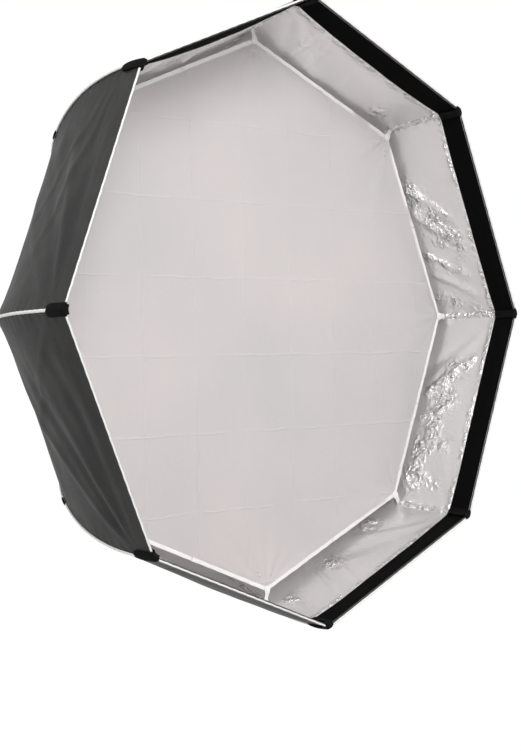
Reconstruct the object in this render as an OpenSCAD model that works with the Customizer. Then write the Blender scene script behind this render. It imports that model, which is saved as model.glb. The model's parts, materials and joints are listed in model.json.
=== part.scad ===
// Octagonal folding softbox: eight curved ribs hinged on a speedring that turns on a lamp insert.
// The light axis lies along Y. The open front faces -Y, and the lamp fits on at +Y. The origin is
// on the light axis, in the plane where the insert seats against the lamp.
// Every module is drawn standing on its back, with its own Z as the light axis, and then laid over.

/* [Softbox] */
// Size across opposite corners of the open rim, over the fabric
across_corners = 1500; // [1480:5:1520]
// Distance from the open rim back to the inner diffuser
diffuser_depth = 214; // [190:2:230]
// Size across opposite corners of the inner diffuser
diffuser_across = 1362; // [1330:2:1364]
// Thickness of the fabric layers
fabric = 2; // [1:0.5:2]

/* [Rib curve] */
// Bend radius of a rib between its shoulder and the open rim
front_bend = 850; // [830:10:870]
// Angle between a rib and the light axis at the open rim
rim_angle = 1; // [0:0.5:2]
// Angle between a rib and the light axis where the two bends meet
shoulder_angle = 33; // [31:1:35]
// Bend radius of a rib between its straight end and its shoulder
rear_bend = 380; // [360:5:400]
// Angle between a rib and the light axis at its pivot
hub_angle = 77; // [75:1:78]
// Diameter of a rib rod
rod_d = 7; // [6:0.5:7]

/* [Speedring] */
// Distance from the light axis to each rib's pivot pin
pivot_r = 100; // [100:1:104]
// Diameter of the clear opening for the light
light_bore_d = 88; // [80:1:90]
// Outer diameter of the spigot that plugs into the lamp
spigot_d = 97.6; // [96:0.1:98]
// Outer radius of the speedring
ring_r = 92; // [90:1:92]
// Diameter of a hinge pin
pin_d = 5; // [4:0.5:6]
// Travel of a release button
button_travel = 4; // [3:0.5:4]

/* [Hidden] */
$fn = 48;
ribs = 8;
step = 360 / ribs;
half_step = step / 2;

// The speedring stack, by distance in front of the lamp's seat.
flange_top = 3.7;
ring_back = 4;
ring_recess = 16;
ring_front = 18;
pivot_z = 20;
insert_r = 62;
flange_r = 72;
spigot_len = 10;
running = 0.05;
gap = 0.3;

// The rib's centre line in its own plane, as [distance from the light axis, distance forward].
fabric_gap = 5.5;
rod_tip_r = across_corners / 2 - fabric_gap - fabric;
straight = (rod_tip_r - pivot_r - rear_bend * (cos(shoulder_angle) - cos(hub_angle))
    - front_bend * (cos(rim_angle) - cos(shoulder_angle))) / sin(hub_angle);
rib_start = [pivot_r, pivot_z];
bend_start = rib_start + straight * [sin(hub_angle), cos(hub_angle)];
rear_centre = bend_start + rear_bend * [-cos(hub_angle), sin(hub_angle)];
shoulder = rear_centre + rear_bend * [cos(shoulder_angle), -sin(shoulder_angle)];
front_centre = shoulder + front_bend * [-cos(shoulder_angle), sin(shoulder_angle)];
rim_z = front_centre[1] - front_bend * sin(rim_angle);
bend_stations = 7;
ferrule_r = 4.1;
ferrule_len = 14;

// Fabric panels start this far from the light axis, and the rear collar closes the ring inside them.
panel_start_r = 128;
collar_r = 134;

// Pivot blocks and clevises.
socket_start = 18;
socket_len = 46;
socket_r = 5.1;
barrel_r = 7.5;
barrel_w = 14;
cheek_w = 5;
cheek_r = 8.5;
cheek_gap = 0.4;

// Release buttons.
button_r = 5;
button_pos_r = 79;
button_floor = 6;
button_seat = 14;
button_top = 23;
nose_w = 6;
nose_h = 3;
spring_r = 3.4;
spring_wire_r = 0.4;
spring_turns = 3;

// Clamp knob.
knob_pos_r = 81;
knob_angle = -67.5;
knob_r = 10.5;
knob_back = -20;
washer_h = 3;

// Corner boots.
boot_len = 56;
boot_half_w = 18;
boot_wall = 4;
tongue_half_w = 14;
tongue_wall = 3;
cap_h = 3;
boot_gap = 0.6;
tip_gap = 0.8;

// Diffuser tabs.
tab_half_w = 12.5;
tab_end_r = 706;

function next_rib(i) = i % ribs + 1;
function rib_angle(i) = 90 - step * (i - 1);
function panel_name(i) = str("panel_", i, "_", next_rib(i));
function side_name(i, rib) = str(panel_name(i), "_rib_", rib, "_side");
function names(stem) = [for (i = [1:ribs]) str(stem, i)];
function reversed(list) = [for (i = [len(list) - 1:-1:0]) list[i]];

// Points along the rib's curve, moved outward by `out`, from distance r0 from the light axis.
function bend_points(centre, radius, from, to) = [
    for (k = [0:bend_stations]) let (a = from + (to - from) * k / bend_stations)
        centre + radius * [cos(a), -sin(a)]
];
function rib_line(out, r0) = let (s = (r0 - pivot_r - out * cos(hub_angle)) / sin(hub_angle)) concat(
    [rib_start + s * [sin(hub_angle), cos(hub_angle)] + out * [cos(hub_angle), -sin(hub_angle)]],
    bend_points(rear_centre, rear_bend + out, hub_angle, shoulder_angle),
    bend_points(front_centre, front_bend + out, shoulder_angle, rim_angle)
);

// Lays a part over so that its own Z points out of the open front.
module laid() rotate([90, 0, 0]) children();
module at_rib(i) laid() rotate([0, 0, rib_angle(i)]) children();
module at_each_rib() for (i = [1:ribs]) at_rib(i) children();
module ring(inner, outer, from, to) translate([0, 0, from]) difference() {
    cylinder(r = outer, h = to - from, $fn = 96);
    translate([0, 0, -1]) cylinder(r = inner, h = to - from + 2, $fn = 96);
}
// A round bar across the rib's plane, centred on the pivot pin.
module across_pivot(r, w) translate([pivot_r, 0, pivot_z]) rotate([90, 0, 0])
    cylinder(r = r, h = w, center = true);
module around(count, r, start = 0) for (k = [0:count - 1])
    rotate([0, 0, start + k * 360 / count]) translate([r, 0, 0]) children();

screw_count = 6;
screw_pos_r = 54;
module mount_insert() color("#9a9c9e") laid() difference() {
    union() {
        cylinder(r = flange_r, h = flange_top, $fn = 96);
        cylinder(r = insert_r, h = ring_recess + gap, $fn = 96);
        translate([0, 0, -spigot_len]) cylinder(d = spigot_d, h = spigot_len + 1, $fn = 96);
        // Three bayonet lugs on the end of the spigot.
        for (a = [18, 138, 258]) translate([0, 0, -spigot_len]) rotate([0, 0, a])
            rotate_extrude(angle = 24, $fn = 96)
                translate([spigot_d / 2 - 1, 0]) square([6, 4]);
    }
    translate([0, 0, -spigot_len - 1]) cylinder(d = light_bore_d, h = 40, $fn = 96);
    translate([0, 0, 8]) around(screw_count, screw_pos_r) cylinder(r = 1.55, h = 20, $fn = 24);
}

module retaining_ring() color("#26272a") laid() difference() {
    ring(light_bore_d / 2 + 2, flange_r - 2, ring_recess + gap, ring_recess + gap + 3);
    around(screw_count, screw_pos_r) cylinder(r = 1.6, h = 40, $fn = 24);
}

module ring_screws() color("#b9bbbd") laid()
    around(screw_count, screw_pos_r) translate([0, 0, ring_recess + gap + 3]) {
        difference() {
            cylinder(r = 3.2, h = 2, $fn = 32);
            translate([0, 0, 0.8]) cylinder(r = 1.5, h = 3, $fn = 6);
        }
        translate([0, 0, -10]) cylinder(r = 1.5, h = 10.1, $fn = 24);
    }

module cheek() union() {
    for (side = [-1, 1]) translate([0, side * (barrel_w / 2 + cheek_gap + cheek_w / 2), 0]) {
        across_pivot(cheek_r, cheek_w);
        translate([86, -cheek_w / 2, ring_back])
            cube([pivot_r - 86, cheek_w, pivot_z + cheek_r - ring_back]);
        translate([86, -cheek_w / 2, ring_back])
            cube([pivot_r + cheek_r - 86, cheek_w, pivot_z - ring_back]);
    }
}

module speedring() color("#1d1e20") {
    laid() difference() {
        union() {
            ring(insert_r + running, ring_r, ring_back, ring_front);
            ring(88, ring_r + 1.5, 0, ring_back + 1);
            for (i = [1:ribs]) rotate([0, 0, rib_angle(i)]) cheek();
        }
        translate([0, 0, ring_recess]) cylinder(r = flange_r - 1, h = 20, $fn = 96);
        rotate([0, 0, knob_angle]) translate([knob_pos_r, 0, 0]) cylinder(r = 3.05, h = 30);
        for (i = [1:ribs]) rotate([0, 0, rib_angle(i)]) {
            translate([button_pos_r, 0, button_floor]) cylinder(r = button_r + 0.1, h = 30);
            translate([button_pos_r, -nose_w / 2 - 0.5, ring_front - nose_h - 0.5])
                cube([20, nose_w + 1, 20]);
            across_pivot(pin_d / 2 + 0.01, 40);
            // Room for the socket's barrel to turn.
            across_pivot(barrel_r + 0.5, barrel_w + 2 * cheek_gap);
        }
    }
}

module hinge_pins() color("#c4c6c8") at_each_rib()
    across_pivot(pin_d / 2, barrel_w + 2 * (cheek_gap + cheek_w) + 2);

module clamp_knob() color("#151515") laid() rotate([0, 0, knob_angle])
    translate([knob_pos_r, 0, 0]) {
        translate([0, 0, -1]) cylinder(r = 3, h = ring_front - 1);
        translate([0, 0, -washer_h - running]) cylinder(r = knob_r, h = washer_h);
        translate([0, 0, knob_back]) difference() {
            cylinder(r = knob_r - 0.5, h = -knob_back - washer_h);
            around(8, knob_r + 1.5) translate([0, 0, -1]) cylinder(r = 3, h = 30, $fn = 24);
        }
    }

module release_button(i) color("#c23b22") at_rib(i) translate([button_pos_r, 0, 0]) {
    translate([0, 0, button_seat]) cylinder(r = button_r, h = button_top - button_seat - 1);
    translate([0, 0, button_top - 1]) cylinder(r1 = button_r, r2 = button_r - 1, h = 1);
    translate([0, -nose_w / 2, ring_front + 1])
        cube([ring_r - button_pos_r, nose_w, nose_h]);
}

// One coil spring as a tube of four-sided rings swept up a helix.
module coil_spring(r, wire_r, turns, h) {
    steps = 8;
    sides = 4;
    count = turns * steps;
    polyhedron(
        points = [for (k = [0:count]) for (s = [0:sides - 1]) let (
            a = 360 * k / steps, b = 360 * s / sides, out = r + wire_r * cos(b))
            [out * cos(a), out * sin(a), h * k / count + wire_r * sin(b)]],
        faces = concat(
            [for (k = [0:count - 1]) for (s = [0:sides - 1]) let (t = (s + 1) % sides)
                [k * sides + s, (k + 1) * sides + s, (k + 1) * sides + t, k * sides + t]],
            [[for (s = [0:sides - 1]) s]],
            [[for (s = [sides - 1:-1:0]) count * sides + s]]
        )
    );
}

module button_springs() color("#c4c6c8") at_each_rib()
    translate([button_pos_r, 0, button_floor + spring_wire_r + 0.2])
        coil_spring(spring_r, spring_wire_r, spring_turns,
            button_seat - button_floor - 2 * spring_wire_r - 0.4);

// Elastic cloth that closes the gap between the speedring and the panels.
module rear_collar() color("#2a2b2e") laid() rotate_extrude($fn = 96) polygon([
    [ring_r + 1.6, 1.2], [112, 1.2], [collar_r, 16.2],
    [collar_r, 16.2 + fabric], [111, 1.2 + fabric], [ring_r + 1.6, 1.2 + fabric]
]);

module rib_socket(i) color("#2b2c2f") at_rib(i) difference() {
    union() {
        across_pivot(barrel_r, barrel_w);
        translate([pivot_r, 0, pivot_z]) rotate([0, hub_angle, 0])
            cylinder(r = socket_r, h = socket_len);
    }
    across_pivot(pin_d / 2 + 2 * running, barrel_w + 1);
    translate([pivot_r, 0, pivot_z]) rotate([0, hub_angle, 0])
        translate([0, 0, socket_start]) cylinder(d = rod_d + 0.02, h = socket_len);
}

module rod_bend(centre, radius, from, to) translate([centre[0], 0, centre[1]])
    rotate([90, 0, 0]) rotate([0, 0, -from]) rotate_extrude(angle = from - to, $fn = 180)
        translate([radius, 0]) circle(d = rod_d, $fn = 32);

// A short sleeve that joins two lengths of rod.
module ferrule(place, angle) translate([place[0], 0, place[1]]) rotate([0, angle, 0])
    cylinder(r = ferrule_r, h = ferrule_len, center = true);

module rib_rod(i) color("#8e9092") at_rib(i) {
    translate([pivot_r, 0, pivot_z]) rotate([0, hub_angle, 0])
        translate([0, 0, socket_start]) cylinder(d = rod_d, h = straight - socket_start, $fn = 32);
    rod_bend(rear_centre, rear_bend, hub_angle, shoulder_angle);
    rod_bend(front_centre, front_bend, shoulder_angle, rim_angle);
    ferrule(bend_start, hub_angle);
    ferrule(shoulder, shoulder_angle);
}

// An arrowhead outline that follows the two rim edges away from a corner.
module chevron(inner, outer, half_w) {
    back = half_w * tan(half_step);
    polygon([[outer, 0], [outer - back, half_w], [inner - back, half_w], [inner, 0],
        [inner - back, -half_w], [outer - back, -half_w]]);
}
// A slab of chevron section that reaches back from the rim to a rounded end.
module boot_leaf(inner, outer, half_w, len) intersection() {
    translate([0, 0, rim_z - len]) linear_extrude(len + tip_gap + cap_h)
        chevron(inner, outer, half_w);
    union() {
        translate([inner - 50, 0, rim_z - len + half_w]) rotate([0, 90, 0])
            cylinder(r = half_w, h = 100);
        translate([inner - 50, -half_w, rim_z - len + half_w])
            cube([100, 2 * half_w, len]);
    }
}

module corner_boot(i) color("#121212") at_rib(i) {
    skin = across_corners / 2 + boot_gap;
    tongue = rod_tip_r - rod_d / 2 - 5;
    boot_leaf(skin, skin + boot_wall, boot_half_w, boot_len);
    boot_leaf(tongue - tongue_wall, tongue, tongue_half_w, boot_len + 6);
    translate([0, 0, rim_z + tip_gap]) linear_extrude(cap_h)
        chevron(tongue - tongue_wall, skin + boot_wall, tongue_half_w);
}

// Half of a panel, from its middle line to one rib. Side 1 is anticlockwise of the middle line.
module half_panel(i, side) color("#3a3b3e") laid() rotate([0, 0, rib_angle(i) - half_step])
    intersection() {
        rotate([90, 0, 0]) linear_extrude(across_corners, center = true) polygon([
            for (p = concat(rib_line(fabric_gap, panel_start_r),
                reversed(rib_line(fabric_gap + fabric, panel_start_r))))
                [p[0] * cos(half_step), p[1]]
        ]);
        linear_extrude(2 * rim_z) polygon([
            for (p = [[50, gap], [across_corners, gap],
                [across_corners, across_corners * tan(half_step) - gap],
                [50, 50 * tan(half_step) - gap]])
                [p[0], side * p[1]]
        ]);
    }

module inner_diffuser() color("#e8e4e2") laid()
    translate([0, 0, rim_z - diffuser_depth - fabric / 2])
        cylinder(d = diffuser_across, h = fabric, $fn = ribs);

module diffuser_tabs() color("#f2f0ee") at_each_rib()
    translate([0, 0, rim_z - diffuser_depth - fabric / 2]) linear_extrude(fabric) {
        tip = diffuser_across / 2;
        back = tab_half_w * tan(half_step);
        polygon([[tip, 0], [tip - back, tab_half_w], [tab_end_r, tab_half_w],
            [tab_end_r, -tab_half_w], [tip - back, -tab_half_w]]);
    }

mount_insert();
retaining_ring();
ring_screws();
speedring();
hinge_pins();
clamp_knob();
button_springs();
rear_collar();
inner_diffuser();
diffuser_tabs();
for (i = [1:ribs]) {
    release_button(i);
    rib_socket(i);
    rib_rod(i);
    corner_boot(i);
    half_panel(i, 1);
    half_panel(i, -1);
}
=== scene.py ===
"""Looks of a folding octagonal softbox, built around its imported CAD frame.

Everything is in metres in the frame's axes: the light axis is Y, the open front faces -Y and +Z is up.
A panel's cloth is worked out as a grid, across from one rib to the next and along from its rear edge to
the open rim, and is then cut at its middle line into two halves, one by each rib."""

import json
import math

import bpy
import numpy as np
from mathutils import Matrix, Vector


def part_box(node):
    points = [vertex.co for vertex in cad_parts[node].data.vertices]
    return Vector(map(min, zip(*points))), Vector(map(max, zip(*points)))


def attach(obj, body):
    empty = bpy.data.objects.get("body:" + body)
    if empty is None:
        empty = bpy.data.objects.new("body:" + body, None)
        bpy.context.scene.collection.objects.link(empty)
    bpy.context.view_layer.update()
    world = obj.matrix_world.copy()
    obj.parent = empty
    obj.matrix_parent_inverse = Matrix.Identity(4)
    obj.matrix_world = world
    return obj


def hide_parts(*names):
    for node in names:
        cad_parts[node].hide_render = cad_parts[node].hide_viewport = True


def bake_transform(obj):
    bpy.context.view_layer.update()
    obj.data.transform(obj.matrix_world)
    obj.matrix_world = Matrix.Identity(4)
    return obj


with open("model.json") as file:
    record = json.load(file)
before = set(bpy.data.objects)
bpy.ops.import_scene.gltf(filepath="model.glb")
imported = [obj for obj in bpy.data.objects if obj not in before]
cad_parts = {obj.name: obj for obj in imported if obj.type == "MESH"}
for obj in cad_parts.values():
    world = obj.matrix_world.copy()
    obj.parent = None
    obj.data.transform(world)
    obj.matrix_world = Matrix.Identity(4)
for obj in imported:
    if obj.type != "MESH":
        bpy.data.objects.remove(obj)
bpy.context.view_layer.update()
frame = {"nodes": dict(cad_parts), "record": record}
nodes = frame["nodes"]
SLOTS = {s["node"]: s["material_slot"] for s in frame["record"]["subparts"]}

# ---------------------------------------------------------------- the rib's curve

RIBS = 8
STEP = math.tau / RIBS
HALF = STEP / 2
MM = 0.001
PIVOT_R, PIVOT_Z = 100 * MM, 20 * MM
REAR_BEND, FRONT_BEND = 380 * MM, 850 * MM
HUB, SHOULDER, RIM = (math.radians(a) for a in (77, 33, 1))
FABRIC_OUT = 7.2 * MM  # from a rod's centre line out to the cloth's outer face
LINING_OUT = 5.2 * MM
ROD_TIP_R = 742.5 * MM
PANEL_START_R = 128 * MM
BAND_W = 62 * MM
DIFFUSER_R = 681 * MM

straight = (
    ROD_TIP_R
    - PIVOT_R
    - REAR_BEND * (math.cos(SHOULDER) - math.cos(HUB))
    - FRONT_BEND * (math.cos(RIM) - math.cos(SHOULDER))
) / math.sin(HUB)
bend_start = np.array([PIVOT_R, PIVOT_Z]) + straight * np.array([math.sin(HUB), math.cos(HUB)])
rear_centre = bend_start + REAR_BEND * np.array([-math.cos(HUB), math.sin(HUB)])
shoulder = rear_centre + REAR_BEND * np.array([math.cos(SHOULDER), -math.sin(SHOULDER)])
front_centre = shoulder + FRONT_BEND * np.array([-math.cos(SHOULDER), math.sin(SHOULDER)])
rear_arc = REAR_BEND * (HUB - SHOULDER)
rib_length = straight + rear_arc + FRONT_BEND * (SHOULDER - RIM)
rim_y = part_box("panel_1_2_rib_1_side")[0].y
diffuser_low, diffuser_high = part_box("inner_diffuser")
diffuser_y = (diffuser_low.y + diffuser_high.y) / 2


def next_rib(i):
    return i % RIBS + 1


def rib_angle(i):
    return math.pi / 2 - STEP * (i - 1)


def rib_lean(s):
    """Angle between the rib and the light axis, at a length s along the rib from its pivot."""
    in_rear = np.clip((s - straight) / REAR_BEND, 0, HUB - SHOULDER)
    in_front = np.clip((s - straight - rear_arc) / FRONT_BEND, 0, SHOULDER - RIM)
    return HUB - in_rear - in_front


def rib_point(s, out):
    """Distance from the light axis and distance forward of a point that is `out` outside the rib's line."""
    s = np.asarray(s, float)
    lean = rib_lean(s)
    on_line = np.minimum(s, straight)
    past_end = np.maximum(s - rib_length, 0)
    r = PIVOT_R + on_line * math.sin(HUB) + past_end * math.sin(RIM)
    z = PIVOT_Z + on_line * math.cos(HUB) + past_end * math.cos(RIM)
    rear = np.clip(lean, SHOULDER, HUB)
    r = r + REAR_BEND * (np.cos(rear) - math.cos(HUB))
    z = z + REAR_BEND * (math.sin(HUB) - np.sin(rear))
    front = np.clip(lean, RIM, SHOULDER)
    r = r + FRONT_BEND * (np.cos(front) - math.cos(SHOULDER))
    z = z + FRONT_BEND * (math.sin(SHOULDER) - np.sin(front))
    return r + out * np.cos(lean), z - out * np.sin(lean)


def in_frame(angle, radial, lateral, forward):
    """Points of the frame from their place in the half plane at an angle round the light axis."""
    radial, lateral, forward = np.broadcast_arrays(radial, lateral, forward)
    x = radial * math.cos(angle) - lateral * math.sin(angle)
    z = radial * math.sin(angle) + lateral * math.cos(angle)
    return np.stack([x, -forward, z], -1)


# ---------------------------------------------------------------- numbers and noise


def smooth(x):
    x = np.clip(x, 0, 1)
    return x * x * (3 - 2 * x)


def hump(x):
    return np.exp(-x * x)


def between(ends, way):
    return ends[0] + (ends[1] - ends[0]) * way


NOISE_SIZE = 64


def noise(x, y, seed):
    """Smooth noise from -1 to 1 with features about 1 across."""
    table = np.random.default_rng(seed).uniform(-1, 1, (NOISE_SIZE, NOISE_SIZE))
    xi, yi = np.floor(x).astype(int), np.floor(y).astype(int)
    fx, fy = smooth(x - xi), smooth(y - yi)
    x0, x1, y0, y1 = (v % NOISE_SIZE for v in (xi, xi + 1, yi, yi + 1))
    low = table[x0, y0] * (1 - fx) + table[x1, y0] * fx
    high = table[x0, y1] * (1 - fx) + table[x1, y1] * fx
    return low * (1 - fy) + high * fy


def creased(x, y, seed, octaves=3):
    """Crumpled-foil noise from about 0 to 1, with sharp ridges."""
    total, size, share = 0, 1.0, 1.0
    for k in range(octaves):
        bend = 0.6 * noise(x / size + 7.3, y / size + 1.7, seed + 50 + k)
        total = total + share * (1 - np.abs(noise(x / size + bend, y / size - bend, seed + k))) ** 2
        size, share = size * 0.47, share * 0.5
    return total / 1.75 - 0.5


def fold(a, b, start, end, height, narrow, wide, bow=0.0):
    """A soft fold from start to end on a cloth whose own coordinates are a and b."""
    (a0, b0), (a1, b1) = start, end
    length = math.hypot(a1 - a0, b1 - b0)
    da, db = (a1 - a0) / length, (b1 - b0) / length
    along = ((a - a0) * da + (b - b0) * db) / length
    off = (b - b0) * da - (a - a0) * db - bow * 4 * along * (1 - along)
    width = narrow + (wide - narrow) * np.clip(along, 0, 1)
    return height * hump(off / width) * smooth(along / 0.18) * smooth((1 - along) / 0.35)


# ---------------------------------------------------------------- meshes


def link(mesh, name):
    piece = bpy.data.objects.new(name, mesh)
    bpy.context.scene.collection.objects.link(piece)
    return piece


def make_mesh(name, points, faces, uvs=(), normals=None):
    mesh = bpy.data.meshes.new(name)
    mesh.from_pydata(np.asarray(points).reshape(-1, 3).tolist(), [], faces)
    mesh.shade_smooth()
    corner = np.zeros(len(mesh.loops), int)
    mesh.loops.foreach_get("vertex_index", corner)
    for label, uv in uvs:
        layer = mesh.uv_layers.new(name=label)
        layer.data.foreach_set("uv", np.asarray(uv, float).reshape(-1, 2)[corner].ravel())
    if normals is not None:
        mesh.normals_split_custom_set_from_vertices(np.asarray(normals).reshape(-1, 3).tolist())
    return mesh


def grid_faces(rows, columns, start=0, flip=False, wrap=False):
    faces = []
    for i in range(rows - 1):
        for j in range(columns if wrap else columns - 1):
            k = (j + 1) % columns
            face = [start + i * columns + j, start + i * columns + k]
            face += [start + (i + 1) * columns + k, start + (i + 1) * columns + j]
            faces.append(face[::-1] if flip else face)
    return faces


def grid_normals(points):
    along, across = np.gradient(points, axis=0), np.gradient(points, axis=1)
    normal = np.cross(along, across)
    return normal / np.maximum(np.linalg.norm(normal, axis=-1, keepdims=True), 1e-12)


def cloth(name, upper, lower, normals, uvs):
    """A closed thin cloth between two grids of points. normals point out of the upper one."""
    rows, columns = upper.shape[:2]
    count = rows * columns
    flip = np.sum(grid_normals(upper) * normals) < 0
    faces = grid_faces(rows, columns, 0, not flip) + grid_faces(rows, columns, count, flip)
    rim = list(range(columns))
    rim += [i * columns + columns - 1 for i in range(1, rows)]
    rim += [(rows - 1) * columns + j for j in range(columns - 2, -1, -1)]
    rim += [i * columns for i in range(rows - 2, 0, -1)]
    for p, q in zip(rim, rim[1:] + rim[:1]):
        face = [p, q, q + count, p + count]
        faces.append(face[::-1] if flip else face)
    points = np.concatenate([upper.reshape(-1, 3), lower.reshape(-1, 3)])
    both = np.concatenate([normals.reshape(-1, 3), -normals.reshape(-1, 3)])
    doubled = [(label, np.concatenate([uv.reshape(-1, 2)] * 2)) for label, uv in uvs]
    return link(make_mesh(name, points, faces, doubled, both), name)


def loft(name, rings):
    """A closed body through rings of points, with a cap on each end."""
    rows, columns = rings.shape[:2]
    faces = grid_faces(rows, columns, wrap=True)
    faces.append(list(range(columns))[::-1])
    faces.append([(rows - 1) * columns + j for j in range(columns)])
    step = np.linalg.norm(np.diff(rings.mean(1), axis=0), axis=1)
    along = np.concatenate([[0], np.cumsum(step)])
    girth = np.linalg.norm(rings[rows // 2] - np.roll(rings[rows // 2], 1, 0), axis=1).cumsum()
    uv = np.stack(np.broadcast_arrays(girth[None, :], along[:, None]), -1)
    mesh = make_mesh(name, rings, faces, [("Cloth", uv)])
    mesh.update()
    return link(mesh, name)


def rounded_ring(half_w, half_h, count, power=0.5):
    """Offsets round a flat section with rounded edges, as (across, up)."""
    turn = np.arange(count) * math.tau / count
    across = np.sign(np.cos(turn)) * np.abs(np.cos(turn)) ** power * half_w
    up = np.sign(np.sin(turn)) * np.abs(np.sin(turn)) ** power * half_h
    return across, up


# ---------------------------------------------------------------- materials


class Finish:
    """A Principled material whose nodes are added one by one."""

    def __init__(self, name, color, roughness, **values):
        self.material = bpy.data.materials.new(name)
        self.material.use_nodes = True
        self.tree = self.material.node_tree
        self.shader = self.tree.nodes["Principled BSDF"]
        self.shader.inputs["Base Color"].default_value = (*color, 1)
        self.shader.inputs["Roughness"].default_value = roughness
        for label, value in values.items():
            self.shader.inputs[label.replace("_", " ")].default_value = value
        self.color = color
        self.top = None

    def node(self, kind, inputs=(), **settings):
        made = self.tree.nodes.new("ShaderNode" + kind)
        for label, value in settings.items():
            setattr(made, label, value)
        for label, value in dict(inputs).items():
            self.put(made.inputs[label], value)
        return made

    def put(self, socket, value):
        if isinstance(value, bpy.types.NodeSocket):
            self.tree.links.new(value, socket)
        else:
            socket.default_value = value

    def place(self, uv=None, scale=(1, 1, 1)):
        source = self.node("UVMap", uv_map=uv).outputs[0] if uv else self.node("TexCoord").outputs["Object"]
        return self.node("Mapping", {"Vector": source, "Scale": scale}).outputs[0]

    def noise(self, vector, scale, detail=3.0, rough=0.5, distortion=0.0):
        inputs = {"Vector": vector, "Scale": scale, "Detail": detail, "Roughness": rough}
        return self.node("TexNoise", {**inputs, "Distortion": distortion}).outputs["Fac"]

    def maths(self, operation, first, second=0.0, third=0.0):
        return self.node("Math", {0: first, 1: second, 2: third}, operation=operation).outputs[0]

    def spread(self, value, low, high, to_low=0.0, to_high=1.0):
        inputs = {"Value": value, "From Min": low, "From Max": high, "To Min": to_low, "To Max": to_high}
        return self.node("MapRange", inputs).outputs[0]

    def tint(self, share, other):
        """Mixes another colour over the base colour so far."""
        socket = self.shader.inputs["Base Color"]
        below = socket.links[0].from_socket if socket.links else (*self.color, 1)
        mix = self.node("Mix", data_type="RGBA")
        self.put(mix.inputs[0], share)
        self.put(mix.inputs[6], below)
        self.put(mix.inputs[7], (*other, 1))
        self.put(socket, mix.outputs[2])

    def rough(self, value):
        self.put(self.shader.inputs["Roughness"], value)

    def raise_by(self, height, distance):
        """Adds a bump of that height, in metres, on top of the earlier ones."""
        inputs = {"Height": height, "Distance": distance, "Strength": 1.0}
        bump = self.node("Bump", inputs)
        if self.top:
            self.put(bump.inputs["Normal"], self.top)
        self.top = bump.outputs[0]
        self.put(self.shader.inputs["Normal"], self.top)

    def weave(self, vector, pitch):
        """Over-and-under threads at that pitch, from 0 to 1."""
        parts = self.node("SeparateXYZ", {0: vector})
        turns = math.tau / pitch
        across = self.maths("SINE", self.maths("MULTIPLY", parts.outputs[0], turns))
        along = self.maths("SINE", self.maths("MULTIPLY", parts.outputs[1], turns))
        return self.maths("MULTIPLY_ADD", self.maths("MULTIPLY", across, along), 0.5, 0.5)

    def stitches(self, vector, place, pitch=3.2 * MM, width=0.7 * MM):
        """A row of stitches along the second coordinate, at a place on the first, from 0 to 1."""
        parts = self.node("SeparateXYZ", {0: vector})
        off = self.maths("ABSOLUTE", self.maths("SUBTRACT", parts.outputs[0], place))
        line = self.spread(off, width, width * 0.5)
        dash = self.maths("SINE", self.maths("MULTIPLY", parts.outputs[1], math.tau / pitch))
        return self.maths("MULTIPLY", line, self.spread(dash, -0.5, 0.0))

    def swapped(self, vector):
        parts = self.node("SeparateXYZ", {0: vector})
        return self.node("CombineXYZ", {0: parts.outputs[1], 1: parts.outputs[0]}).outputs[0]


def shell_finish():
    f = Finish("shell_nylon", (0.0122, 0.0117, 0.0115), 0.5, Specular_IOR_Level=0.31, Sheen_Weight=0.03)
    f.shader.inputs["Sheen Roughness"].default_value = 0.4
    cloth_uv, seam_uv = f.place("Cloth"), f.place("Seam")
    f.tint(f.spread(f.noise(cloth_uv, 5, 4), 0.35, 0.75), (0.0175, 0.0166, 0.016))
    f.tint(f.spread(f.noise(cloth_uv, 160, 2), 0.55, 0.8, 0, 0.5), (0.03, 0.029, 0.028))
    f.raise_by(f.noise(cloth_uv, 22, 5, 0.6, 0.4), 1.1 * MM)
    f.raise_by(f.weave(cloth_uv, 0.9 * MM), 0.05 * MM)
    across = f.swapped(seam_uv)
    for rows in (f.stitches(seam_uv, 7 * MM), f.stitches(across, 5 * MM), f.stitches(across, 60 * MM)):
        f.tint(rows, (0.04, 0.039, 0.038))
        f.raise_by(rows, 0.35 * MM)
    f.rough(f.spread(f.noise(cloth_uv, 12, 4), 0.3, 0.7, 0.42, 0.56))
    return f.material


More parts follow.
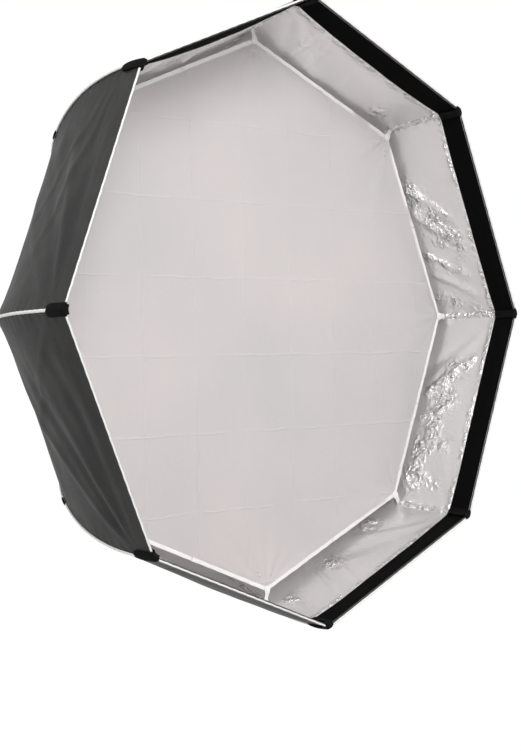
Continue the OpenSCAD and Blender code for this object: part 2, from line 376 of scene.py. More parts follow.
def lining_finish():
    f = Finish("silver_lining", (0.89, 0.88, 0.88), 0.36, Metallic=0.86)
    cloth_uv, seam_uv = f.place("Cloth"), f.place("Seam")
    crumpled = f.node("SeparateXYZ", {0: f.place("Crumple")}).outputs[0]
    f.tint(f.spread(f.noise(cloth_uv, 4, 3), 0.35, 0.75), (0.85, 0.84, 0.84))
    crumpled = f.maths("MULTIPLY", crumpled, f.spread(f.noise(cloth_uv, 19, 3, 0.6), 0.36, 0.56, 0.15, 1.0))
    fine = f.noise(cloth_uv, 70, 4, 0.62, 0.8)
    facets = f.node("TexVoronoi", {"Vector": cloth_uv, "Scale": 85, "Detail": 2.0, "Roughness": 0.6})
    off_facet = f.maths("SUBTRACT", facets.outputs["Distance"], 0.5)
    level = f.maths("ADD", f.maths("SUBTRACT", fine, 0.5), off_facet)
    f.raise_by(f.maths("MULTIPLY", level, f.spread(crumpled, 0, 1, 0.03, 1.0)), 7 * MM)
    f.raise_by(f.noise(cloth_uv, 8, 3, 0.5, 1.0), 1.6 * MM)
    f.raise_by(f.weave(cloth_uv, 0.8 * MM), 0.02 * MM)
    # Painted shade and painted highlights: where the foil is crumpled, its colour gets dark spots and white
    # glints that stand in for the light and shade on its crinkles.
    painted_shade_spots, bright = f.spread(fine, 0.5, 0.36), f.spread(fine, 0.55, 0.66)
    f.tint(f.maths("MULTIPLY", painted_shade_spots, f.spread(crumpled, 0.1, 0.9, 0, 0.75)), (0.38, 0.38, 0.39))
    f.tint(f.maths("MULTIPLY", bright, f.spread(crumpled, 0.1, 0.9, 0, 0.9)), (1.0, 1.0, 1.0))
    rows = f.stitches(seam_uv, 9 * MM)
    f.tint(rows, (0.5, 0.5, 0.5))
    f.raise_by(rows, 0.4 * MM)
    f.rough(f.spread(crumpled, 0.0, 1.0, 0.36, 0.15))
    return f.material


def loop_finish():
    f = Finish("loop_band", (0.0026, 0.0026, 0.0027), 0.95, Specular_IOR_Level=0.06)
    cloth_uv, seam_uv = f.place("Cloth"), f.place("Seam")
    fuzz = f.noise(cloth_uv, 900, 3, 0.7)
    f.tint(f.spread(fuzz, 0.5, 0.8, 0, 0.7), (0.0055, 0.0055, 0.0055))
    f.raise_by(fuzz, 0.6 * MM)
    across = f.swapped(seam_uv)
    for rows in (f.stitches(across, 3 * MM), f.stitches(across, 59 * MM)):
        f.tint(rows, (0.008, 0.008, 0.008))
        f.raise_by(rows, -0.4 * MM)
    return f.material


def piping_finish():
    f = Finish("white_piping", (0.78, 0.78, 0.775), 0.55, Sheen_Weight=0.1)
    uv = f.place("Cloth")
    f.tint(f.spread(f.noise(uv, 60, 3), 0.45, 0.8, 0, 0.6), (0.62, 0.615, 0.60))
    f.raise_by(f.weave(uv, 1.1 * MM), 0.12 * MM)
    f.raise_by(f.noise(uv, 45, 3), 0.8 * MM)
    return f.material


def boot_finish():
    f = Finish("boot_webbing", (0.003, 0.0029, 0.0029), 0.78, Specular_IOR_Level=0.1)
    uv = f.place("Cloth")
    f.tint(f.spread(f.noise(uv, 40, 4), 0.4, 0.75), (0.006, 0.0058, 0.0057))
    f.raise_by(f.weave(uv, 1.6 * MM), 0.16 * MM)
    f.raise_by(f.noise(uv, 60, 4, 0.6), 0.9 * MM)
    return f.material


def diffuser_finish():
    f = Finish("diffuser_cloth", (0.87, 0.825, 0.82), 0.8, Specular_IOR_Level=0.2, Transmission_Weight=0.5)
    uv = f.place("Cloth")
    parts = f.node("SeparateXYZ", {0: uv})
    f.tint(f.spread(f.noise(uv, 2.2, 2), 0.35, 0.7), (0.81, 0.78, 0.785))
    wobble = f.maths("MULTIPLY", f.maths("SUBTRACT", f.noise(uv, 7, 3), 0.5), 0.02)
    for axis, pitch, phase in ((0, 0.158, 0.03), (1, 0.187, 0.06)):
        shifted = f.maths("ADD", f.maths("ADD", parts.outputs[axis], wobble), 2 + phase)
        cell = f.maths("FRACT", f.maths("DIVIDE", shifted, pitch))
        off = f.maths("ABSOLUTE", f.maths("SUBTRACT", cell, 0.5))
        line = f.spread(off, 0.016, 0.0)
        crease_and_painted_highlight = f.maths("MULTIPLY", line, f.spread(f.noise(uv, 6 + axis, 2), 0.36, 0.56))
        # Painted highlight: each kept crease line is also made lighter in colour, as where light catches it;
        # the same lines are raised as a real bump.
        f.tint(f.maths("MULTIPLY", crease_and_painted_highlight, 0.8), (0.95, 0.93, 0.93))
        f.raise_by(crease_and_painted_highlight, 1.2 * MM)
    f.raise_by(f.noise(uv, 11, 3, 0.5, 0.6), 2.2 * MM)
    f.raise_by(f.weave(uv, 0.7 * MM), 0.03 * MM)
    return f.material


def tape_finish():
    f = Finish("white_tape", (0.84, 0.815, 0.815), 0.6, Sheen_Weight=0.1)
    uv = f.place("Cloth")
    f.tint(f.spread(f.noise(uv, 50, 3), 0.45, 0.8, 0, 0.5), (0.76, 0.75, 0.75))
    f.raise_by(f.weave(uv, 1.3 * MM), 0.12 * MM)
    return f.material


def collar_finish():
    f = Finish("collar_elastic", (0.02, 0.02, 0.021), 0.7, Sheen_Weight=0.15)
    uv = f.place("Cloth")
    f.tint(f.spread(f.noise(uv, 20, 4), 0.4, 0.75), (0.034, 0.033, 0.033))
    f.raise_by(f.weave(uv, 1.0 * MM), 0.08 * MM)
    f.raise_by(f.noise(uv, 30, 4), 0.8 * MM)
    return f.material


def metal_finish(name, color, roughness, metallic, grain=(30, 30, 30), worn=None, depth=0.05, **values):
    """Metal or plastic with fine grain, uneven polish and, if worn is a colour, rubbed patches."""
    f = Finish(name, color, roughness, Metallic=metallic, **values)
    place = f.place(None, grain)
    patches = f.noise(f.place(), 24, 5, 0.6)
    if worn:
        f.tint(f.spread(patches, 0.58, 0.75, 0, 0.6), worn)
    f.rough(f.spread(f.noise(place, 8, 4), 0.3, 0.7, roughness * 0.8, min(1, roughness * 1.25)))
    f.raise_by(f.noise(place, 40, 3), depth * MM)
    return f.material


FINISHES = {
    "shell": shell_finish(),
    "lining": lining_finish(),
    "loop": loop_finish(),
    "piping": piping_finish(),
    "boot": boot_finish(),
    "diffuser": diffuser_finish(),
    "tape": tape_finish(),
    "collar": collar_finish(),
}
CAD_FINISHES = {
    "insert_metal": metal_finish("brushed_aluminium", (0.56, 0.57, 0.58), 0.32, 1.0, (3, 60, 3)),
    "ring_metal": metal_finish("black_anodised", (0.022, 0.022, 0.024), 0.42, 0.7, worn=(0.07, 0.07, 0.072)),
    "steel": metal_finish("bright_steel", (0.62, 0.63, 0.64), 0.25, 1.0, (40, 6, 40)),
    "knob_rubber": metal_finish("knob_rubber", (0.018, 0.018, 0.018), 0.75, 0.0, depth=0.2),
    "button_plastic": metal_finish("red_plastic", (0.50, 0.045, 0.022), 0.38, 0.0, depth=0.06),
    "socket_metal": metal_finish("socket_metal", (0.045, 0.046, 0.05), 0.4, 0.8, worn=(0.2, 0.2, 0.21)),
    "rib_rod": metal_finish("rod_steel", (0.42, 0.43, 0.44), 0.3, 1.0, (6, 6, 6), worn=(0.3, 0.3, 0.31)),
}


def dressed(piece, finish):
    piece.data.materials.clear()
    piece.data.materials.append(FINISHES[finish])
    return piece


# ---------------------------------------------------------------- the panels' cloth


class Panel:
    """One panel as a grid: rows from the rear edge to the rim, columns from rib i to the next rib."""

    def __init__(self, i, stations, columns, out):
        self.i, self.columns = i, columns
        self.middle = rib_angle(i) - HALF
        self.middle_up = math.sin(self.middle)
        self.s = np.asarray(stations, float)[:, None]
        share = np.linspace(-1, 1, 2 * columns - 1)[None, :]
        self.q = 1 - np.abs(share)
        self.r, self.z = rib_point(self.s, out)
        self.half_w = self.r * math.sin(HALF)
        self.lean = rib_lean(self.s)
        self.b = -share * self.half_w
        self.a = rib_length - self.s + 0 * self.b

    def points(self, lift):
        """The grid moved in from the flat panel by lift."""
        forward, up = np.cos(self.lean), math.cos(HALF) * np.sin(self.lean)
        size = np.hypot(forward, up)
        radial = self.r * math.cos(HALF) - lift * forward / size
        return in_frame(self.middle, radial, self.b, self.z + lift * up / size)

    def uvs(self, crumple):
        shift = 2.3 * self.i
        seam = self.half_w * self.q
        layers = [("Cloth", np.stack([self.b + shift, self.a], -1)), ("Seam", np.stack([seam, self.a], -1))]
        if crumple is not None:
            layers.append(("Crumple", np.stack([crumple, 0 * crumple], -1)))
        return layers

    def halves(self, name, lift, thickness, finish, crumple=None):
        """The two half cloths, one on each side of the panel's middle line."""
        upper = self.points(lift)
        lower = self.points(lift + thickness)
        normals = grid_normals(upper)
        outward = upper - np.array([0, upper[..., 1].mean(), 0])
        if np.sum(normals * outward) < 0:
            normals = -normals
        made = []
        near, far = slice(0, self.columns), slice(self.columns - 1, None)
        for rib, part in ((self.i, near), (next_rib(self.i), far)):
            uvs = [(label, uv[:, part]) for label, uv in self.uvs(crumple)]
            piece = cloth(
                f"{name}_{self.i}_{next_rib(self.i)}_rib_{rib}_side",
                upper[:, part],
                lower[:, part],
                normals[:, part],
                uvs,
            )
            dressed(piece, finish)
            weight = smooth(np.broadcast_to(self.q, self.b.shape)[:, part]).ravel()
            bend(piece, self.i, rib, np.concatenate([weight, weight]))
            made.append(piece)
        return made


def bend(piece, i, rib, weights):
    """Bakes the piece's place into its mesh. Its weights are not used."""
    corner = in_frame(rib_angle(rib), ROD_TIP_R, 0, -rim_y)
    middle = in_frame(rib_angle(i) - HALF, ROD_TIP_R * math.cos(HALF), 0, -rim_y)
    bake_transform(piece)


def stations(*runs):
    """Lengths along the rib, from runs of (start, end, pitch)."""
    rows = [np.arange(start, end, pitch) for start, end, pitch in runs]
    return np.concatenate([*rows, [runs[-1][1]]])


SLACK_PANELS = (6, 7)
SHELL_THICK, LINING_THICK, BAND_THICK, DIFFUSER_THICK = 0.7 * MM, 0.5 * MM, 1.6 * MM, 0.6 * MM
LINING_GAP, BAND_GAP = 0.4 * MM, 3.0 * MM  # in from the shell, at the seam and away from it
PIPING_R = 2.3 * MM
rear_edge = (PANEL_START_R - PIVOT_R - FABRIC_OUT * math.cos(HUB)) / math.sin(HUB)
rim_half_w = (ROD_TIP_R + FABRIC_OUT) * math.sin(HALF)


def sag(p):
    """How far a panel's cloth stands in from flat: drawn in between its ribs, and hanging by its weight."""
    along = 1 - p.a / rib_length
    drawn = 8 * MM * np.sin(math.pi * np.clip(along, 0, 1) ** 0.9) * (1 - (1 - p.q) ** 2)
    hang = (14 if p.middle_up > 0 else 8) * MM * p.middle_up
    near_rim = smooth(p.a / 0.075) * (1 - smooth((p.a - 0.14) / 0.4))
    return drawn + hang * near_rim * (1 - (1 - p.q) ** 3)


def shell_folds(p):
    """Soft tension folds that fan out from one corner boot towards the other rib."""
    rng = np.random.default_rng(100 + p.i)
    corner = (0.045, rim_half_w)
    total = 0
    for k, far in enumerate((0.04, 0.14, 0.27, 0.42, 0.58)):
        target = (far + rng.uniform(-0.02, 0.02), -rim_half_w * (0.93 - 0.5 * far))
        height = (1 if k % 2 else -1) * rng.uniform(3.5, 5.5) * MM
        bow = rng.uniform(-0.03, 0.03)
        total = total + fold(p.a, p.b, corner, target, height, 10 * MM, 34 * MM, bow)
    for far in (0.12, 0.3, 0.5):
        target = (far + rng.uniform(-0.03, 0.03), rim_half_w * 0.6)
        height = rng.uniform(-2.8, 2.8) * MM
        total = total + fold(p.a, p.b, (0.05, -rim_half_w), target, height, 9 * MM, 26 * MM)
    loose = noise(p.a * 9, p.b * 7 + p.i, 11) * 1.8 * MM + noise(p.a * 24, p.b * 20, 12) * 0.4 * MM
    seam_gap = p.half_w * p.q
    puckers = 0.7 * MM * np.sin(p.a * 190 + 3 * noise(p.a * 12, p.b, 13)) * hump(seam_gap / 0.022)
    calm = smooth((seam_gap - 0.003) / 0.05) * smooth((p.a - 0.01) / 0.09)
    slack = 1.0 if p.i in SLACK_PANELS else 0.4
    return (total * slack + loose) * calm + puckers * smooth(seam_gap / 0.004) * smooth(p.a / 0.03)


# How the lining of each panel in view is creased. A fan is a row of folds from the diffuser's edge to the
# band: how many, where the first and last one start and end, as shares of the half width, and how crumpled
# they are. A belt is a row of crumpled patches: how many, and the first and last one's place, as a share of
# the way from the band to the diffuser's edge and a share of the half width.
FANS = {
    1: (4, (0.5, -0.2), (0.6, 0.1), 0.1),
    2: (6, (0.4, -0.7), (-0.1, -1.0), 0.4),
    3: (4, (0.1, -0.6), (0.6, -0.8), 0.5),
    4: (3, (0.0, -0.6), (-0.3, -0.9), 0.1),
}
BELTS = {
    1: (1, (0.7, -0.6), (0.7, -0.6)),
    2: (3, (0.3, -0.2), (0.8, 0.3)),
    3: (5, (0.4, 0.4), (0.8, -0.7)),
    4: (3, (0.9, 0.5), (0.6, -0.8)),
}
HIDDEN_FAN, HIDDEN_BELT = (3, (0.6, -0.6), (0.4, -0.8), 0.2), (1, (0.5, 0.2), (0.5, 0.2))
FOLDS_FROM = 238 * MM  # from the rim back to where the diffuser's edge hides the lining
FOLDS_TO = BAND_W + 14 * MM


def lining_folds(p):
    """The silver lining's folds and puckers, and how crumpled it is from 0 to 1."""
    rng = np.random.default_rng(300 + p.i)
    total, crumple = 0, 0.0
    count, at_edge, at_band, rough = FANS.get(p.i, HIDDEN_FAN)
    for k in range(count):
        way = k / (count - 1)
        start = (FOLDS_FROM + rng.uniform(-12, 8) * MM, rim_half_w * between(at_edge, way))
        end = (FOLDS_TO + rng.uniform(-8, 8) * MM, rim_half_w * between(at_band, way))
        height = (-3.3 if k % 3 == 2 else rng.uniform(3, 5.5)) * MM
        narrow, crumpled = rng.uniform(6, 10) * MM, min(1.0, rough * rng.uniform(0.2, 2.2))
        shake = 6 * MM * crumpled * noise(p.a * 70, p.b * 70, 33)
        bow = 0.01 * rng.uniform(-1, 1)
        ridge = fold(p.a + shake, p.b - shake, start, end, 1.0, narrow, 1.4 * narrow, bow)
        total = total + height * ridge * (1 + 0.9 * crumpled * noise(p.a * 110, p.b * 110, 34))
        crumple = crumple + crumpled * fold(p.a, p.b, start, end, 1.0, 2.2 * narrow, 3.1 * narrow)
    count, first, last = BELTS.get(p.i, HIDDEN_BELT)
    for k in range(count):
        way = k / max(count - 1, 1)
        back = between((FOLDS_TO, FOLDS_FROM), between((first[0], last[0]), way))
        across = rim_half_w * between((first[1], last[1]), way)
        size, height = rng.uniform(26, 36) * MM, rng.uniform(2.4, 3.6) * MM
        patch = hump(np.hypot(p.a - back, p.b - across) / size)
        total = total + patch * height * (0.7 + 1.4 * creased(p.a / 0.022, p.b / 0.025, 40 + p.i))
        crumple = crumple + patch
    total = total + noise(p.a * 7 + 3, p.b * 5 + p.i, 31) * 2.2 * MM
    total = total + creased(p.a / 0.05, p.b / 0.05, 60) * 0.3 * MM
    seam_gap = p.half_w * p.q
    at_hem, at_seam = hump((p.a - BAND_W - 7 * MM) / 0.008), hump(seam_gap / 0.012)
    puckers = 1.3 * MM * noise(p.a * 120, p.b * 40, 71) * at_seam
    puckers = puckers + 2.2 * MM * noise(p.b * 110, p.a * 60, 72) * at_hem
    calm = smooth(seam_gap / 0.02) * smooth((p.a - BAND_W + 0.004) / 0.02)
    lift = np.maximum(total * calm + puckers * smooth((p.a - BAND_W + 0.004) / 0.008), -0.3 * MM)
    return lift, np.clip(crumple + 0.7 * at_hem + 0.8 * at_seam, 0, 1)


def make_panel(i):
    shell_rows = stations((rear_edge, rib_length - 0.07, 6 * MM), (rib_length - 0.07, rib_length, 5 * MM))
    p = Panel(i, shell_rows, 54, FABRIC_OUT)
    shells = p.halves("shell", sag(p) + shell_folds(p), SHELL_THICK, "shell")

    lining_rows = stations(
        (rear_edge, rib_length - 0.28, 13 * MM), (rib_length - 0.28, rib_length - 1 * MM, 3.4 * MM)
    )
    inner = Panel(i, lining_rows, 76, LINING_OUT)
    # The lining lies on the inside of the shell, and its own folds stand in from there.
    own, crumple = lining_folds(inner)
    gap = LINING_GAP + BAND_GAP * smooth(inner.half_w * inner.q / 0.01)
    lift = sag(inner) + shell_folds(inner) + gap + own
    linings = inner.halves("lining", lift, LINING_THICK, "lining", crumple)

    band_rows = np.linspace(rib_length - BAND_W, rib_length - 2 * MM, 16)
    strip = Panel(i, band_rows, 40, LINING_OUT)
    ripple = 0.5 * MM * noise(strip.b * 30, strip.a * 12, 81) * smooth((strip.a - 0.02) / 0.03)
    lift = sag(strip) + shell_folds(strip) + BAND_GAP + ripple
    bands = strip.halves("loop_band", lift, BAND_THICK, "loop")

    for shell, lining, band, edge in zip(shells, linings, bands, rim_piping(i)):
        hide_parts(shell.name.replace("shell", "panel"))


def rim_piping(i):
    """Thin white cord bound into the rim of panel i, in two halves."""
    made = []
    middle = rib_angle(i) - HALF
    r, z = rib_point(rib_length, FABRIC_OUT - 1.2 * MM)
    for rib, side in ((i, 1), (next_rib(i), -1)):
        share = np.linspace(16 * MM / rim_half_w, 1, 60)
        lateral = side * r * math.sin(HALF) * (1 - share)
        wave = 0.25 * MM * np.sin(lateral * 210)
        turn = np.arange(12) * math.tau / 12
        radial = r * math.cos(HALF) + wave[:, None] + PIPING_R * np.cos(turn)[None, :]
        forward = z + 1.2 * MM + PIPING_R * np.sin(turn)[None, :]
        rings = in_frame(middle, radial, lateral[:, None], forward)
        piece = loft(f"rim_piping_{i}_{next_rib(i)}_rib_{rib}_side", rings[::side])
        dressed(piece, "piping")
        weight = np.repeat(smooth(share)[::side], 12)
        bend(piece, i, rib, weight)
        made.append(piece)
    return made


# ---------------------------------------------------------------- what is sewn along each rib


def seam_piping(i):
    s = np.arange(rear_edge + 4 * MM, rib_length - 50 * MM, 5 * MM)[:, None]
    across, up = rounded_ring(3.5 * MM, 2.4 * MM, 14, 0.8)
    wave = 0.9 * MM * noise(s * 16, s * 0 + 3 * i, 90) + 0.3 * MM * np.sin(s * 260)
    r, z = rib_point(s, FABRIC_OUT + 1.6 * MM + up[None, :])
    piece = loft(f"seam_piping_{i}", in_frame(rib_angle(i), r, across[None, :] + wave, z))
    dressed(piece, "piping")
    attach(piece, f"rib_{i}")


def rod_sleeve(i):
    """The silver sleeve that holds rib i's rod against the seam."""
    s = np.arange(rear_edge + 30 * MM, rib_length - 60 * MM, 4.5 * MM)[:, None]
    across = np.array([-13, -11, -8, -6.2, -4.6, -2.4, 0, 2.4, 4.6, 6.2, 8, 11, 13]) * MM
    rise = np.array([0.4, 0.4, -0.4, -2.2, -4.1, -5.2, -5.6, -5.2, -4.1, -2.2, -0.4, 0.4, 0.4]) * MM
    crinkle = 0.7 * MM * noise(s * 110, across[None, :] * 260, 95 + i)
    lateral = across[None, :] + 0.8 * MM * noise(s * 60, s * 0, 96 + i)
    chevron = np.maximum(np.abs(across) - 5 * MM, 0) * math.tan(HALF)
    layers = []
    for depth in (0.0, 0.5 * MM):
        r, z = rib_point(s, rise[None, :] - crinkle - depth)
        layers.append(in_frame(rib_angle(i), r - chevron[None, :], lateral, z))
    inward = grid_normals(layers[1])
    centre = np.array([0, layers[1][..., 1].mean(), 0])
    if np.sum(inward * (layers[1] - centre)) > 0:
        inward = -inward
    uv = np.stack(np.broadcast_arrays(across[None, :] + 0.05 * i, s), -1)
    uvs = [("Cloth", uv), ("Seam", uv), ("Crumple", 0 * uv + 0.8)]
    piece = cloth(f"rod_sleeve_{i}", layers[1], layers[0], inward, uvs)
    dressed(piece, "lining")
    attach(piece, f"rib_{i}")


def strap_body(name, i, path, half_w, half_h, groove=0.0):
    """A padded strap over rib i's corner. path has rows of (distance from the rim, distance outward)."""
    back, out = path[:, 0], path[:, 1]
    tangent = np.gradient(path, axis=0)
    tangent /= np.linalg.norm(tangent, axis=1, keepdims=True)
    rings = []
    for k in range(len(path)):
        across, up = rounded_ring(half_w[k], half_h[k], 48, 0.7)
        inset = half_w[k] - np.abs(across)
        up = up * (1 - groove * hump((inset - 3.2 * MM) / (1.0 * MM)))
        blunt = np.sqrt(across**2 + (3 * MM) ** 2) - 3 * MM
        # The normal of the path, in the plane of (back, out).
        normal = np.array([-tangent[k, 1], tangent[k, 0]])
        base = rib_length - back[k]
        r, z = rib_point(base, 0)
        lean = rib_lean(base)
        out_k = out[k] + normal[1] * up
        ahead = -normal[0] * up
        radial = r + out_k * math.cos(lean) + ahead * math.sin(lean) - blunt * math.tan(HALF)
        forward = z - out_k * math.sin(lean) + ahead * math.cos(lean)
        rings.append(in_frame(rib_angle(i), radial, across, forward))
    return loft(name, np.array(rings))


def rounded_path(points, count):
    """A smooth line through points, evenly spaced."""
    points = np.array(points, float)
    padded = np.vstack([2 * points[0] - points[1], points, 2 * points[-1] - points[-2]])
    line = []
    for p0, p1, p2, p3 in zip(padded, padded[1:], padded[2:], padded[3:]):
        for t in np.linspace(0, 1, 12, endpoint=False):
            line.append(
                0.5 * (2 * p1 + (p2 - p0) * t + (2 * p0 - 5 * p1 + 4 * p2 - p3) * t**2
                + (3 * p1 - p0 - 3 * p2 + p3) * t**3)
            )
    line = np.array(line + [points[-1]])
    length = np.concatenate([[0], np.cumsum(np.linalg.norm(np.diff(line, axis=0), axis=1))])
    even = np.linspace(0, length[-1], count)
    return np.stack([np.interp(even, length, line[:, k]) for k in range(2)], -1), even


def corner_boot(i):
    """The padded pocket over rib i's tip: outside, over the rim and down the inside of the band."""
    outside = [(66, 8.4), (52, 9.8), (34, 10.4), (16, 10.0), (4, 9.2), (-0.8, 6.4)]
    inside = [(-1.6, 1), (-1.2, -3.6), (2, -5.8), (9, -6.4), (30, -6.4), (52, -6.2), (62, -5)]
    path, length = rounded_path(np.array(outside + inside) * MM, 90)
    total = length[-1]
    outer_share = smooth((length - 62 * MM) / (16 * MM))
    width = (15 + (10.5 - 15) * outer_share) * MM
    round_rear = np.sqrt(np.clip(1 - (1 - np.clip(length / (17 * MM), 0, 1)) ** 2, 0.02, 1))
    round_end = np.sqrt(np.clip(1 - (1 - np.clip((total - length) / (8 * MM), 0, 1)) ** 2, 0.05, 1))
    half_w = width * np.minimum(round_rear, round_end)
    half_h = (2.3 + 0.8 * hump((length - 30 * MM) / (24 * MM)) - 0.9 * outer_share) * MM
    half_h = half_h * np.minimum(round_rear, round_end) ** 0.5
    piece = strap_body(f"boot_{i}", i, path, half_w, half_h, 0.22)
    dressed(piece, "boot")
    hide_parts(f"corner_boot_{i}")
    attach(piece, f"rib_{i}")


def shoulder_patch(i):
    """A black wrap sewn over the seam at the rib's shoulder."""
    back, length = rounded_path(np.array([(446, 10.2), (462, 10.6), (478, 10.2)]) * MM, 16)
    round_ends = np.sqrt(np.clip(1 - np.abs(np.linspace(-1, 1, 16)) ** 6, 0.15, 1))
    piece = strap_body(f"shoulder_patch_{i}", i, back, 9 * MM * round_ends, 2.6 * MM * round_ends, 0.2)
    dressed(piece, "boot")
    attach(piece, f"rib_{i}")


# ---------------------------------------------------------------- the inner diffuser


def diffuser_depth(x, z):
    """How far the diffuser's cloth stands forward of its plane."""
    radius, angle = np.hypot(x, z), np.arctan2(z, x)
    depth = 2.6 * MM * noise(x * 5 + 9, z * 3.4 + 9, 110) + 0.8 * MM * noise(x * 14 + 9, z * 9 + 9, 111)
    for i in range(1, RIBS + 1):
        cx, cz = DIFFUSER_R * math.cos(rib_angle(i)), DIFFUSER_R * math.sin(rib_angle(i))
        away = np.hypot(x - cx, z - cz)
        turn = np.arctan2(z - cz, x - cx) - rib_angle(i) - math.pi
        turn = (turn + math.pi) % math.tau - math.pi
        fan = np.sin(turn * (9 + i % 3) + i) * np.cos(turn * 4 - i)
        near_corner = smooth(away / 0.05) * hump(away / 0.26)
        depth = depth + 2.2 * MM * fan * near_corner * (1 - smooth((radius - 0.64) / 0.04))
    return depth


def make_diffuser():
    rows, columns = 84, 30
    flat_w, flat_l = DIFFUSER_R * math.sin(HALF), DIFFUSER_R * math.cos(HALF)
    for i in range(1, RIBS + 1):
        middle = rib_angle(i) - HALF
        for rib, side in ((i, 1), (next_rib(i), -1)):
            out = np.linspace(0.0006, 1, rows)[:, None]
            share = np.linspace(0, 1, columns)[None, :]
            radial = flat_l * out + 0 * share
            lateral = side * flat_w * out * (1 - share)
            flat_grid = in_frame(middle, radial, lateral, 0)
            x, z = flat_grid[..., 0], flat_grid[..., 2]
            nudge = 1 * MM
            deep = diffuser_depth(x, z)
            slope_x = (diffuser_depth(x + nudge, z) - deep) / nudge
            slope_z = (diffuser_depth(x, z + nudge) - deep) / nudge
            normals = np.stack([-slope_x, -np.ones_like(x), -slope_z], -1)
            normals /= np.linalg.norm(normals, axis=-1, keepdims=True)
            front = np.stack([x, diffuser_y - deep - DIFFUSER_THICK / 2, z], -1)
            back = np.stack([x, diffuser_y - deep + DIFFUSER_THICK / 2, z], -1)
            uv = np.stack([x, z], -1)
            name = f"{i}_{next_rib(i)}_rib_{rib}_side"
            piece = cloth(f"diffuser_{name}", front, back, normals, [("Cloth", uv)])
            dressed(piece, "diffuser")
            weight = smooth(np.broadcast_to(share, x.shape)).ravel()
            bend(piece, i, rib, np.concatenate([weight, weight]))
            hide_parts("inner_diffuser")
            tape = edge_tape(i, rib, side, f"diffuser_tape_{name}")


def edge_tape(i, rib, side, name):
    """White binding tape along half an edge of the diffuser, on its front face."""
    middle = rib_angle(i) - HALF
    share = np.linspace(0, 1, 40)
    lateral = side * DIFFUSER_R * math.sin(HALF) * (1 - share)
    across, up = rounded_ring(5 * MM, 1.1 * MM, 20, 0.5)
    wave = 0.3 * MM * np.sin(lateral[:, None] * 160)
    radial = DIFFUSER_R * math.cos(HALF) - 4 * MM + across[None, :] + wave
    forward = -diffuser_y + 1.2 * MM + up[None, :] + 0.4 * MM * np.sin(lateral[:, None] * 60 + i)
    rings = in_frame(middle, radial, lateral[:, None], forward)
    piece = loft(name, rings[:: -side])
    dressed(piece, "tape")
    bend(piece, i, rib, np.repeat(smooth(share)[:: -side], 20))
    return piece


def diffuser_tab(i):
    """The sewn strap that ties a corner of the diffuser to rib i."""
    length = np.linspace(-13, 27, 20) * MM
    half_w = (10 - 4 * smooth((length + 8 * MM) / (24 * MM))) * MM
    tip = np.sqrt(np.clip(1 - np.clip((-7 * MM - length) / (6 * MM), 0, 1) ** 2, 0.1, 1))
    rings = []
    for k, reach in enumerate(length):
        across, up = rounded_ring(half_w[k] * tip[k], 1.2 * MM, 20, 0.5)
        rise = 2.6 * MM + 1.5 * MM * hump(reach / (12 * MM)) - 5.0 * MM * smooth(reach / (27 * MM))
        forward = -diffuser_y + rise + up * (1 + 0.25 * np.cos(reach * 900))
        rings.append(in_frame(rib_angle(i), DIFFUSER_R + reach, across, forward))
    strap = loft(f"diffuser_tab_{i}", np.array(rings)[::-1])
    dressed(strap, "tape")
    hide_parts("diffuser_tabs")
    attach(strap, f"rib_{i}")


# ---------------------------------------------------------------- the rear collar


def collar_sector(i):
    """An eighth of the gathered elastic collar between the speedring and the panels."""
    low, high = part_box("rear_collar")
    outer = high.x + 3 * MM
    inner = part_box("speedring")[1].z - 14 * MM
    start, end = -high.y, -low.y
    turn = np.linspace(-HALF, HALF, 49)[None, :]
    share = np.linspace(0, 1, 18)[:, None]
    pleat = np.sin((turn + rib_angle(i)) * 64) * np.sin(math.pi * share) ** 0.6
    bulge = np.sin(math.pi * share)
    radius = inner + (outer - inner) * share + 0 * turn
    forward = start + (end - start) * share - 7 * MM * bulge + 1.5 * MM * pleat
    corner = radius / np.cos(turn) * math.cos(HALF)
    radius = radius * (1 - share) + np.maximum(corner, radius * math.cos(HALF)) * share
    upper = in_frame(rib_angle(i), radius * np.cos(turn), radius * np.sin(turn), forward)
    lower = in_frame(rib_angle(i), radius * np.cos(turn), radius * np.sin(turn), forward + 1 * MM)
    normals = grid_normals(upper)
    if normals[..., 1].mean() < 0:
        normals = -normals
    uv = np.stack([radius * turn + i, radius], -1)
    piece = cloth(f"collar_{i}", upper, lower, normals, [("Cloth", uv)])
    dressed(piece, "collar")
    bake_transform(piece)
    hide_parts("rear_collar")


# ---------------------------------------------------------------- all the pieces

for node, part in nodes.items():
    if SLOTS[node] in CAD_FINISHES:
        part.data.materials.clear()
        part.data.materials.append(CAD_FINISHES[SLOTS[node]])

for rib in range(1, RIBS + 1):
    make_panel(rib)
    seam_piping(rib)
    rod_sleeve(rib)
    corner_boot(rib)
    shoulder_patch(rib)
    diffuser_tab(rib)
    collar_sector(rib)
make_diffuser()

# ---------------------------------------------------------------- floor, light and camera

FLOOR_DROP = 2.1
FLOOR_R = 3.0


def make_floor():
    turn = np.linspace(0, math.tau, 96, endpoint=False)
    points = np.stack([FLOOR_R * np.cos(turn), FLOOR_R * np.sin(turn) + rim_y / 2, 0 * turn - FLOOR_DROP], -1)
    floor = link(make_mesh("floor", points, [list(range(96))]), "floor")
    finish = Finish("pale_floor", (0.8, 0.8, 0.8), 0.9)
    floor.data.materials.append(finish.material)


def area_light(name, place, target, size, power, color=(1, 1, 1)):
    data = bpy.data.lights.new(name, "AREA")
    data.shape, data.size, data.energy, data.color = "DISK", size, power, color
    lamp = bpy.data.objects.new(name, data)
    bpy.context.scene.collection.objects.link(lamp)
    lamp.location = place
    lamp.rotation_mode = "QUATERNION"
    lamp.rotation_quaternion = (Vector(target) - Vector(place)).to_track_quat("-Z", "Y")
    return lamp


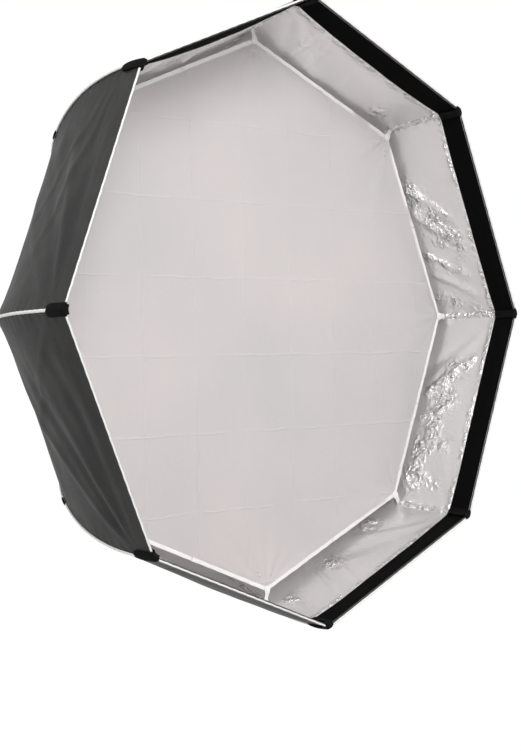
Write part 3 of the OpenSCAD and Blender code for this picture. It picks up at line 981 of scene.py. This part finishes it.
def make_world():
    """A white studio: full white behind the object, and softer white light from all round."""
    world = bpy.data.worlds.new("studio")
    bpy.context.scene.world = world
    world.use_nodes = True
    tree = world.node_tree
    light, seen = tree.nodes["Background"], tree.nodes.new("ShaderNodeBackground")
    # Broad brighter and dimmer parts, as in a real studio, so that the silver cloth has something to show.
    place, patches = tree.nodes.new("ShaderNodeTexCoord"), tree.nodes.new("ShaderNodeTexNoise")
    patches.inputs["Scale"].default_value, patches.inputs["Detail"].default_value = 2.4, 1.0
    tree.links.new(place.outputs["Generated"], patches.inputs["Vector"])
    bright = tree.nodes.new("ShaderNodeMapRange")
    tree.links.new(patches.outputs["Fac"], bright.inputs["Value"])
    for label, value in {"From Min": 0.38, "From Max": 0.62, "To Min": 0.28, "To Max": 1.0}.items():
        bright.inputs[label].default_value = value
    light.inputs[0].default_value = (1.0, 0.995, 0.99, 1)
    tree.links.new(bright.outputs[0], light.inputs[1])
    seen.inputs[0].default_value = (1, 1, 1, 1)
    seen.inputs[1].default_value = 1.02
    ray, mix = tree.nodes.new("ShaderNodeLightPath"), tree.nodes.new("ShaderNodeMixShader")
    tree.links.new(ray.outputs["Is Camera Ray"], mix.inputs[0])
    tree.links.new(light.outputs[0], mix.inputs[1])
    tree.links.new(seen.outputs[0], mix.inputs[2])
    tree.links.new(mix.outputs[0], tree.nodes["World Output"].inputs[0])


CAMERA_PLACE, CAMERA_LENS = (-2.599, -3.247, -0.121), 73.7
CAMERA_TURN = (43.18, -0.42, -1.35)  # yaw, pitch and roll in degrees


def make_camera():
    yaw, pitch, roll = (math.radians(turn) for turn in CAMERA_TURN)
    ahead = Vector((math.sin(yaw) * math.cos(pitch), math.cos(yaw) * math.cos(pitch), math.sin(pitch)))
    level = Vector((math.cos(yaw), -math.sin(yaw), 0))
    above = level.cross(ahead)
    right = level * math.cos(roll) + above * math.sin(roll)
    up = above * math.cos(roll) - level * math.sin(roll)
    data = bpy.data.cameras.new("camera")
    data.lens, data.sensor_width = CAMERA_LENS, 36
    camera = bpy.data.objects.new("camera", data)
    bpy.context.scene.collection.objects.link(camera)
    turned = Matrix((right, up, -ahead)).transposed().to_4x4()
    camera.matrix_world = Matrix.Translation(CAMERA_PLACE) @ turned
    bpy.context.scene.camera = camera


make_floor()
make_world()
centre = (0, rim_y * 0.7, 0)
area_light("key", (-1.8, -4.0, 2.3), centre, 2.4, 135)
area_light("fill", (2.8, -4.2, 0.2), centre, 2.5, 20)
area_light("side", (-4.0, 0.3, 2.2), centre, 2.0, 40)
make_camera()
bpy.context.scene.view_settings.view_transform = "Standard"
bpy.context.scene.view_settings.look = "None"
